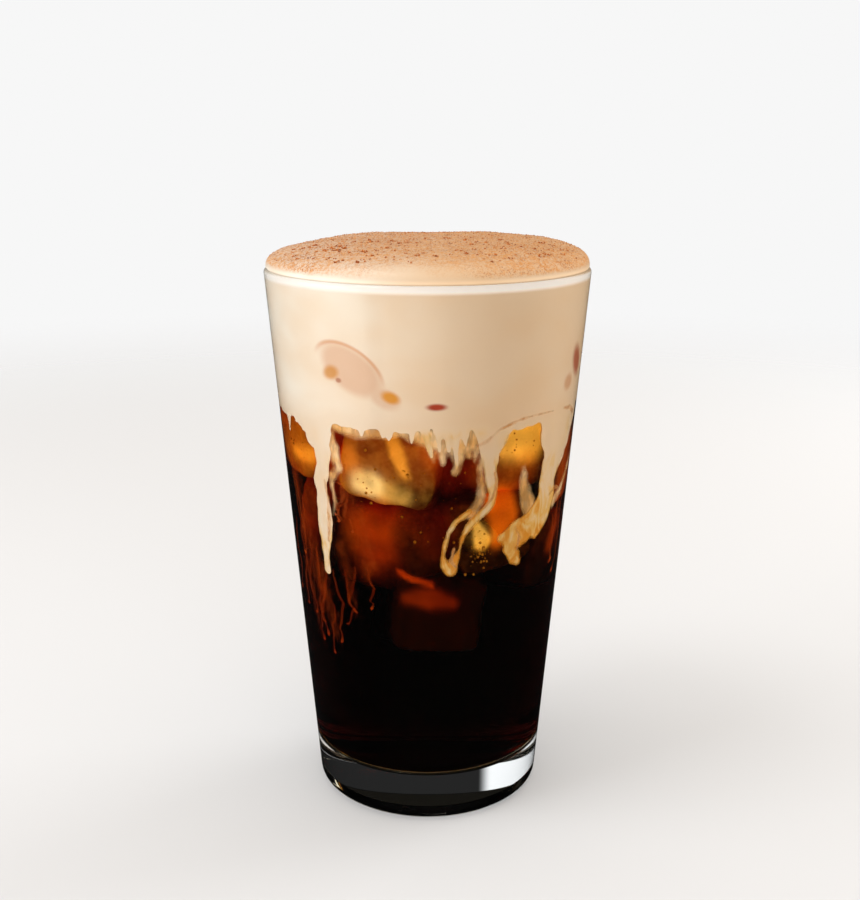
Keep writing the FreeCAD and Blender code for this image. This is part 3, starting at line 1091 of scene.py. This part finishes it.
def wisp(angle, height, inset, length, width, sway, seed):
    """A sinking strand: it wavers, thins out and ends in a small drop."""
    draw = np.random.default_rng(100 + seed)
    share = np.linspace(0, 1, WISP_STEPS)
    waves = np.zeros(WISP_STEPS)
    for turns in (1.0, 2.3, 4.1):
        waves += np.sin(2 * math.pi * (turns * share + draw.random())) / turns
    side = sway * waves * (0.3 + share) + draw.normal() * 1.5 * share
    level = height - length * share + 0.5 * sway * np.sin(2 * math.pi * (3 * share + draw.random()))
    depth = inset * (1 + 0.25 * np.sin(2 * math.pi * (share * 1.4 + draw.random())))
    thick = width * 0.6 * (0.25 + 0.75 * np.sin(math.pi * np.clip(share * 0.9 + 0.08, 0, 1)))
    thick = thick + width * 0.45 * np.exp(-((share - DROP_AT) / DROP_LENGTH) ** 2)
    thick[0] = thick[-1] = 0.02
    middle = around(angle + side / DEGREE, inner_radius(level) - depth, level)
    across = around(angle + 90.0, 1.0, 0.0)
    inward = -around(angle, 1.0, 0.0)
    ring = np.arange(WISP_SIDES) * 2 * math.pi / WISP_SIDES
    points = (middle[:, None] + thick[:, None, None] * np.cos(ring)[None, :, None] * across
              + WISP_FLAT * thick[:, None, None] * np.sin(ring)[None, :, None] * inward)
    faces = ring_faces(WISP_STEPS, WISP_SIDES)
    faces.append(tuple(reversed(range(WISP_SIDES))))
    faces.append(tuple((WISP_STEPS - 1) * WISP_SIDES + step for step in range(WISP_SIDES)))
    return points.reshape(-1, 3), faces, np.repeat(share, WISP_SIDES)


def make_wisps():
    mesh = Mesh()
    for number, strand in enumerate(WISPS):
        points, faces, share = wisp(*strand, seed=number + 1)
        mesh.take(points, faces, fall=share)
    make = shade("sinking_cream")
    streaks = make.noise(1.8, 3, 0.6, stretch=(1, 1, 0.3), seed=24)
    colour = make.blend(streaks, tone(190, 96, 56), tone(158, 70, 38))
    cover = 0.06 + 0.22 * streaks + 0.45 * make.mark("fall").between(0.92, 0.98)
    # the wisps glow in their own colour: painted light
    look = make.dressed({
        "Base Color": colour, "Roughness": 0.5, "IOR": 1.38, "Alpha": cover.limited(),
        "Emission Color": colour, "Emission Strength": 0.7})
    add_piece("cream_wisps", mesh, look)


# ---------------- spice

GRAIN_COUNT = 9000
GRAIN_LEAST = 0.10
GRAIN_EXTRA = 0.30
CLUMP_COUNT = 150
CLUMP_GRAINS = 3
SPICE_RADIUS = 42.4
BARE_FRONT = 37
BARE_FADE = 14
FRONT_STRAYS = 0.03
GRAIN_POINTS = [(1, 0, 0), (-1, 0, 0), (0, 1, 0), (0, -1, 0), (0, 0, 1), (0, 0, -1)]
GRAIN_FACES = [(4, 0, 2), (4, 2, 1), (4, 1, 3), (4, 3, 0), (5, 2, 0), (5, 1, 2), (5, 3, 1), (5, 0, 3)]


def grain(draw, middle, size):
    """An angular grain: a stretched and turned eight-sided bit."""
    points = np.array(GRAIN_POINTS, float)
    points = points * (size / 2 * draw.uniform(0.5, 1.2, 3)) * draw.uniform(0.8, 1.2, (6, 1))
    turn = np.array(Euler(draw.uniform(0, 2 * math.pi, 3)).to_matrix())
    return points @ turn.T + middle, GRAIN_FACES


def crown_height(x, y):
    """Height of the foam's crown at a place, with its lean and lumps."""
    height = dome_height(np.hypot(x, y))
    return float(height + dome_lift(np.array([x, y, height])))


def scatter_grains(draw, mesh):
    """Fine grains over the crown, few of them in front."""
    kept = 0
    while kept < GRAIN_COUNT:
        radius = SPICE_RADIUS * math.sqrt(draw.random())
        turn = draw.uniform(0, 2 * math.pi)
        x, y = radius * math.cos(turn), radius * math.sin(turn)
        front = (y + 0.10 * x + BARE_FRONT) / BARE_FADE
        front += 0.35 * smooth_noise(np.array([x, y, 0.0]), 6, 61)
        if draw.random() > np.clip(front, FRONT_STRAYS, 1.0):
            continue
        size = GRAIN_LEAST + GRAIN_EXTRA * draw.random() ** 2.5
        mesh.take(*grain(draw, (x, y, crown_height(x, y) + size * 0.12), size), clump=0.0)
        kept += 1


def scatter_clumps(draw, mesh):
    """Damp clumps of a few coarse grains, most of them near the front edge."""
    for _ in range(CLUMP_COUNT):
        turn = math.radians(draw.uniform(-75, 75))
        radius = draw.uniform(27, 40) if draw.random() < 0.75 else draw.uniform(5, 27)
        x, y = radius * math.sin(turn), -radius * math.cos(turn)
        size = draw.uniform(0.45, 1.15)
        level = crown_height(x, y) + size * 0.08
        for _ in range(CLUMP_GRAINS):
            shift = draw.normal(size=2) * size * 0.3
            mesh.take(*grain(draw, (x + shift[0], y + shift[1], level), size * 0.7), clump=1.0)


def make_spice():
    draw = np.random.default_rng(17)
    mesh = Mesh()
    scatter_grains(draw, mesh)
    scatter_clumps(draw, mesh)
    make = shade("ground_spice")
    mix = make.noise(0.8, 2, 0.6, seed=25)
    dry = make.add("ShaderNodeValToRGB", {"stops": [
        (0.30, tone(222, 164, 98)), (0.48, tone(188, 116, 58)), (0.60, tone(150, 76, 36)),
        (0.72, tone(104, 46, 24))]}, {0: mix})
    wet = make.blend(mix.between(0.35, 0.65), tone(196, 118, 52), tone(148, 76, 30))
    dust = make.dressed({
        "Base Color": make.blend(make.mark("clump"), dry, wet), "Roughness": 0.8, "IOR": 1.45})
    add_piece("ground_spice", mesh, dust, crease=20)


# ---------------- studio

FLOOR_RADIUS = 1.2
FLOOR_SIDES = 96
FLOOR_FADE = (0.30, 0.95)
FLOOR_TINT = (0.655, 0.68, 0.715)
MIRRORED_TINT = (0.02, 0.02, 0.02)
BACKDROP = (0.93, 0.93, 0.93)
AIM_SHARE = 0.6

# the white card's glow, and where its edges start and end in the directions round the drink
CARD = (1.1, 1.12, 1.14)
CARD_RIGHT_EDGE = (0.30, 0.40)
CARD_FRONT_EDGE = (0.0, 0.05)
CARD_FOOT = (0.02, 0.05)
CARD_HEAD = (0.55, 0.62)

# soft lights in metres and watts: place, width, height, power, colour, and the rays that miss it
LIGHTS = {
    "key": ((-0.42, -0.22, 0.95), 0.30, 0.30, 1.55, (1.0, 0.99, 0.97), []),
    "side": ((-0.95, -0.25, 0.35), 0.8, 0.8, 5.4, (0.97, 0.985, 1.0), ["transmission"]),
    "front": ((0.20, -0.95, 0.50), 0.7, 0.7, 2.6, (1.0, 0.96, 0.92), ["glossy"]),
    "rim": ((0.80, 0.45, 0.35), 0.5, 0.8, 5.0, (1.0, 0.97, 0.93), ["glossy", "transmission"]),
}


def make_floor():
    """A pale round floor that fades out into the backdrop."""
    points = [(0, 0, 0)]
    for step in range(FLOOR_SIDES):
        turn = 2 * math.pi * step / FLOOR_SIDES
        points.append((FLOOR_RADIUS * math.cos(turn), FLOOR_RADIUS * math.sin(turn), 0))
    faces = [(0, 1 + step, 1 + (step + 1) % FLOOR_SIDES) for step in range(FLOOR_SIDES)]
    data = bpy.data.meshes.new("floor")
    data.from_pydata(points, [], faces)
    floor = put("floor", data)
    make = shade("pale_floor")
    here = make.add("ShaderNodeTexCoord", out="Object")
    away = make.add("ShaderNodeVectorMath", {"operation": "LENGTH"}, {0: here}, out="Value")
    mirrored = make.add("ShaderNodeLightPath", out="Glossy Depth").limited()
    tint = make.blend(mirrored, FLOOR_TINT, MIRRORED_TINT)
    pale = make.add("ShaderNodeBsdfDiffuse", {}, {0: tint})
    clear = make.add("ShaderNodeBsdfTransparent", {}, {0: (1, 1, 1, 1)})
    faded = make.add("ShaderNodeMixShader", {}, {0: away.between(*FLOOR_FADE), 1: pale, 2: clear})
    data.materials.append(make.finish(faded))


def make_lights():
    """Rectangular lights that face the drink; none of them shows itself."""
    for name, (place, width, height, power, colour, missed) in LIGHTS.items():
        data = bpy.data.lights.new(name, "AREA")
        data.shape = "RECTANGLE"
        data.size = width
        data.size_y = height
        data.energy = power
        data.color = colour
        light = put(name, data)
        light.location = place
        aim = Vector((0, 0, HEIGHT * MM * AIM_SHARE)) - Vector(place)
        light.rotation_euler = aim.to_track_quat("-Z", "Y").to_euler()
        for rays in ["camera"] + missed:
            setattr(light, "visible_" + rays, False)


def make_world():
    """A warm room; a white card low behind the drink shows only through the clear glass."""
    world = bpy.data.worlds.new("studio")
    bpy.context.scene.world = world
    make = Shade(world, "ShaderNodeOutputWorld")
    x, y, z = make.parts(make.add("ShaderNodeTexCoord", out="Generated"))
    glow = make.blend(y.between(-0.4, 0.5), (0.96, 0.84, 0.72), (0.95, 0.90, 0.84))
    seen = make.add("ShaderNodeLightPath", out="Is Camera Ray")
    mirrored = make.add("ShaderNodeLightPath", out="Glossy Depth").limited()
    through = make.add("ShaderNodeLightPath", out="Is Transmission Ray")
    glow = make.blend(mirrored, glow, MIRRORED_TINT)
    card = (0 - x).between(*CARD_RIGHT_EDGE) * y.between(*CARD_FRONT_EDGE) * z.between(*CARD_FOOT)
    card = card * (1 - z.between(*CARD_HEAD)) * through
    glow = make.blend(card, glow, CARD)
    colour = make.blend(seen, glow, BACKDROP)
    make.finish(make.add("ShaderNodeBackground", {}, {0: colour, 1: 1.0}))


CAMERA_BACK = 0.338
CAMERA_HEIGHT = 0.187
CAMERA_PITCH = 14.8
CAMERA_RIGHT = 0.00065
LENS = 50
SENSOR = 36
BOUNCES = 24


def make_camera():
    data = bpy.data.cameras.new("camera")
    data.lens = LENS
    data.sensor_width = SENSOR
    camera = put("camera", data)
    camera.location = (CAMERA_RIGHT, -CAMERA_BACK, CAMERA_HEIGHT)
    camera.rotation_euler = (math.radians(90 - CAMERA_PITCH), 0, 0)
    bpy.context.scene.camera = camera


def set_rendering():
    scene = bpy.context.scene
    scene.view_settings.view_transform = "Standard"
    scene.cycles.use_denoising = True
    scene.cycles.max_bounces = BOUNCES
    scene.cycles.transmission_bounces = BOUNCES
    scene.cycles.transparent_max_bounces = BOUNCES


make_glass()
make_coffee()
make_ice()
make_bubbles()
make_foam()
make_sheer_cream()
make_wisps()
make_spice()
make_floor()
make_lights()
make_world()
make_camera()
set_rendering()
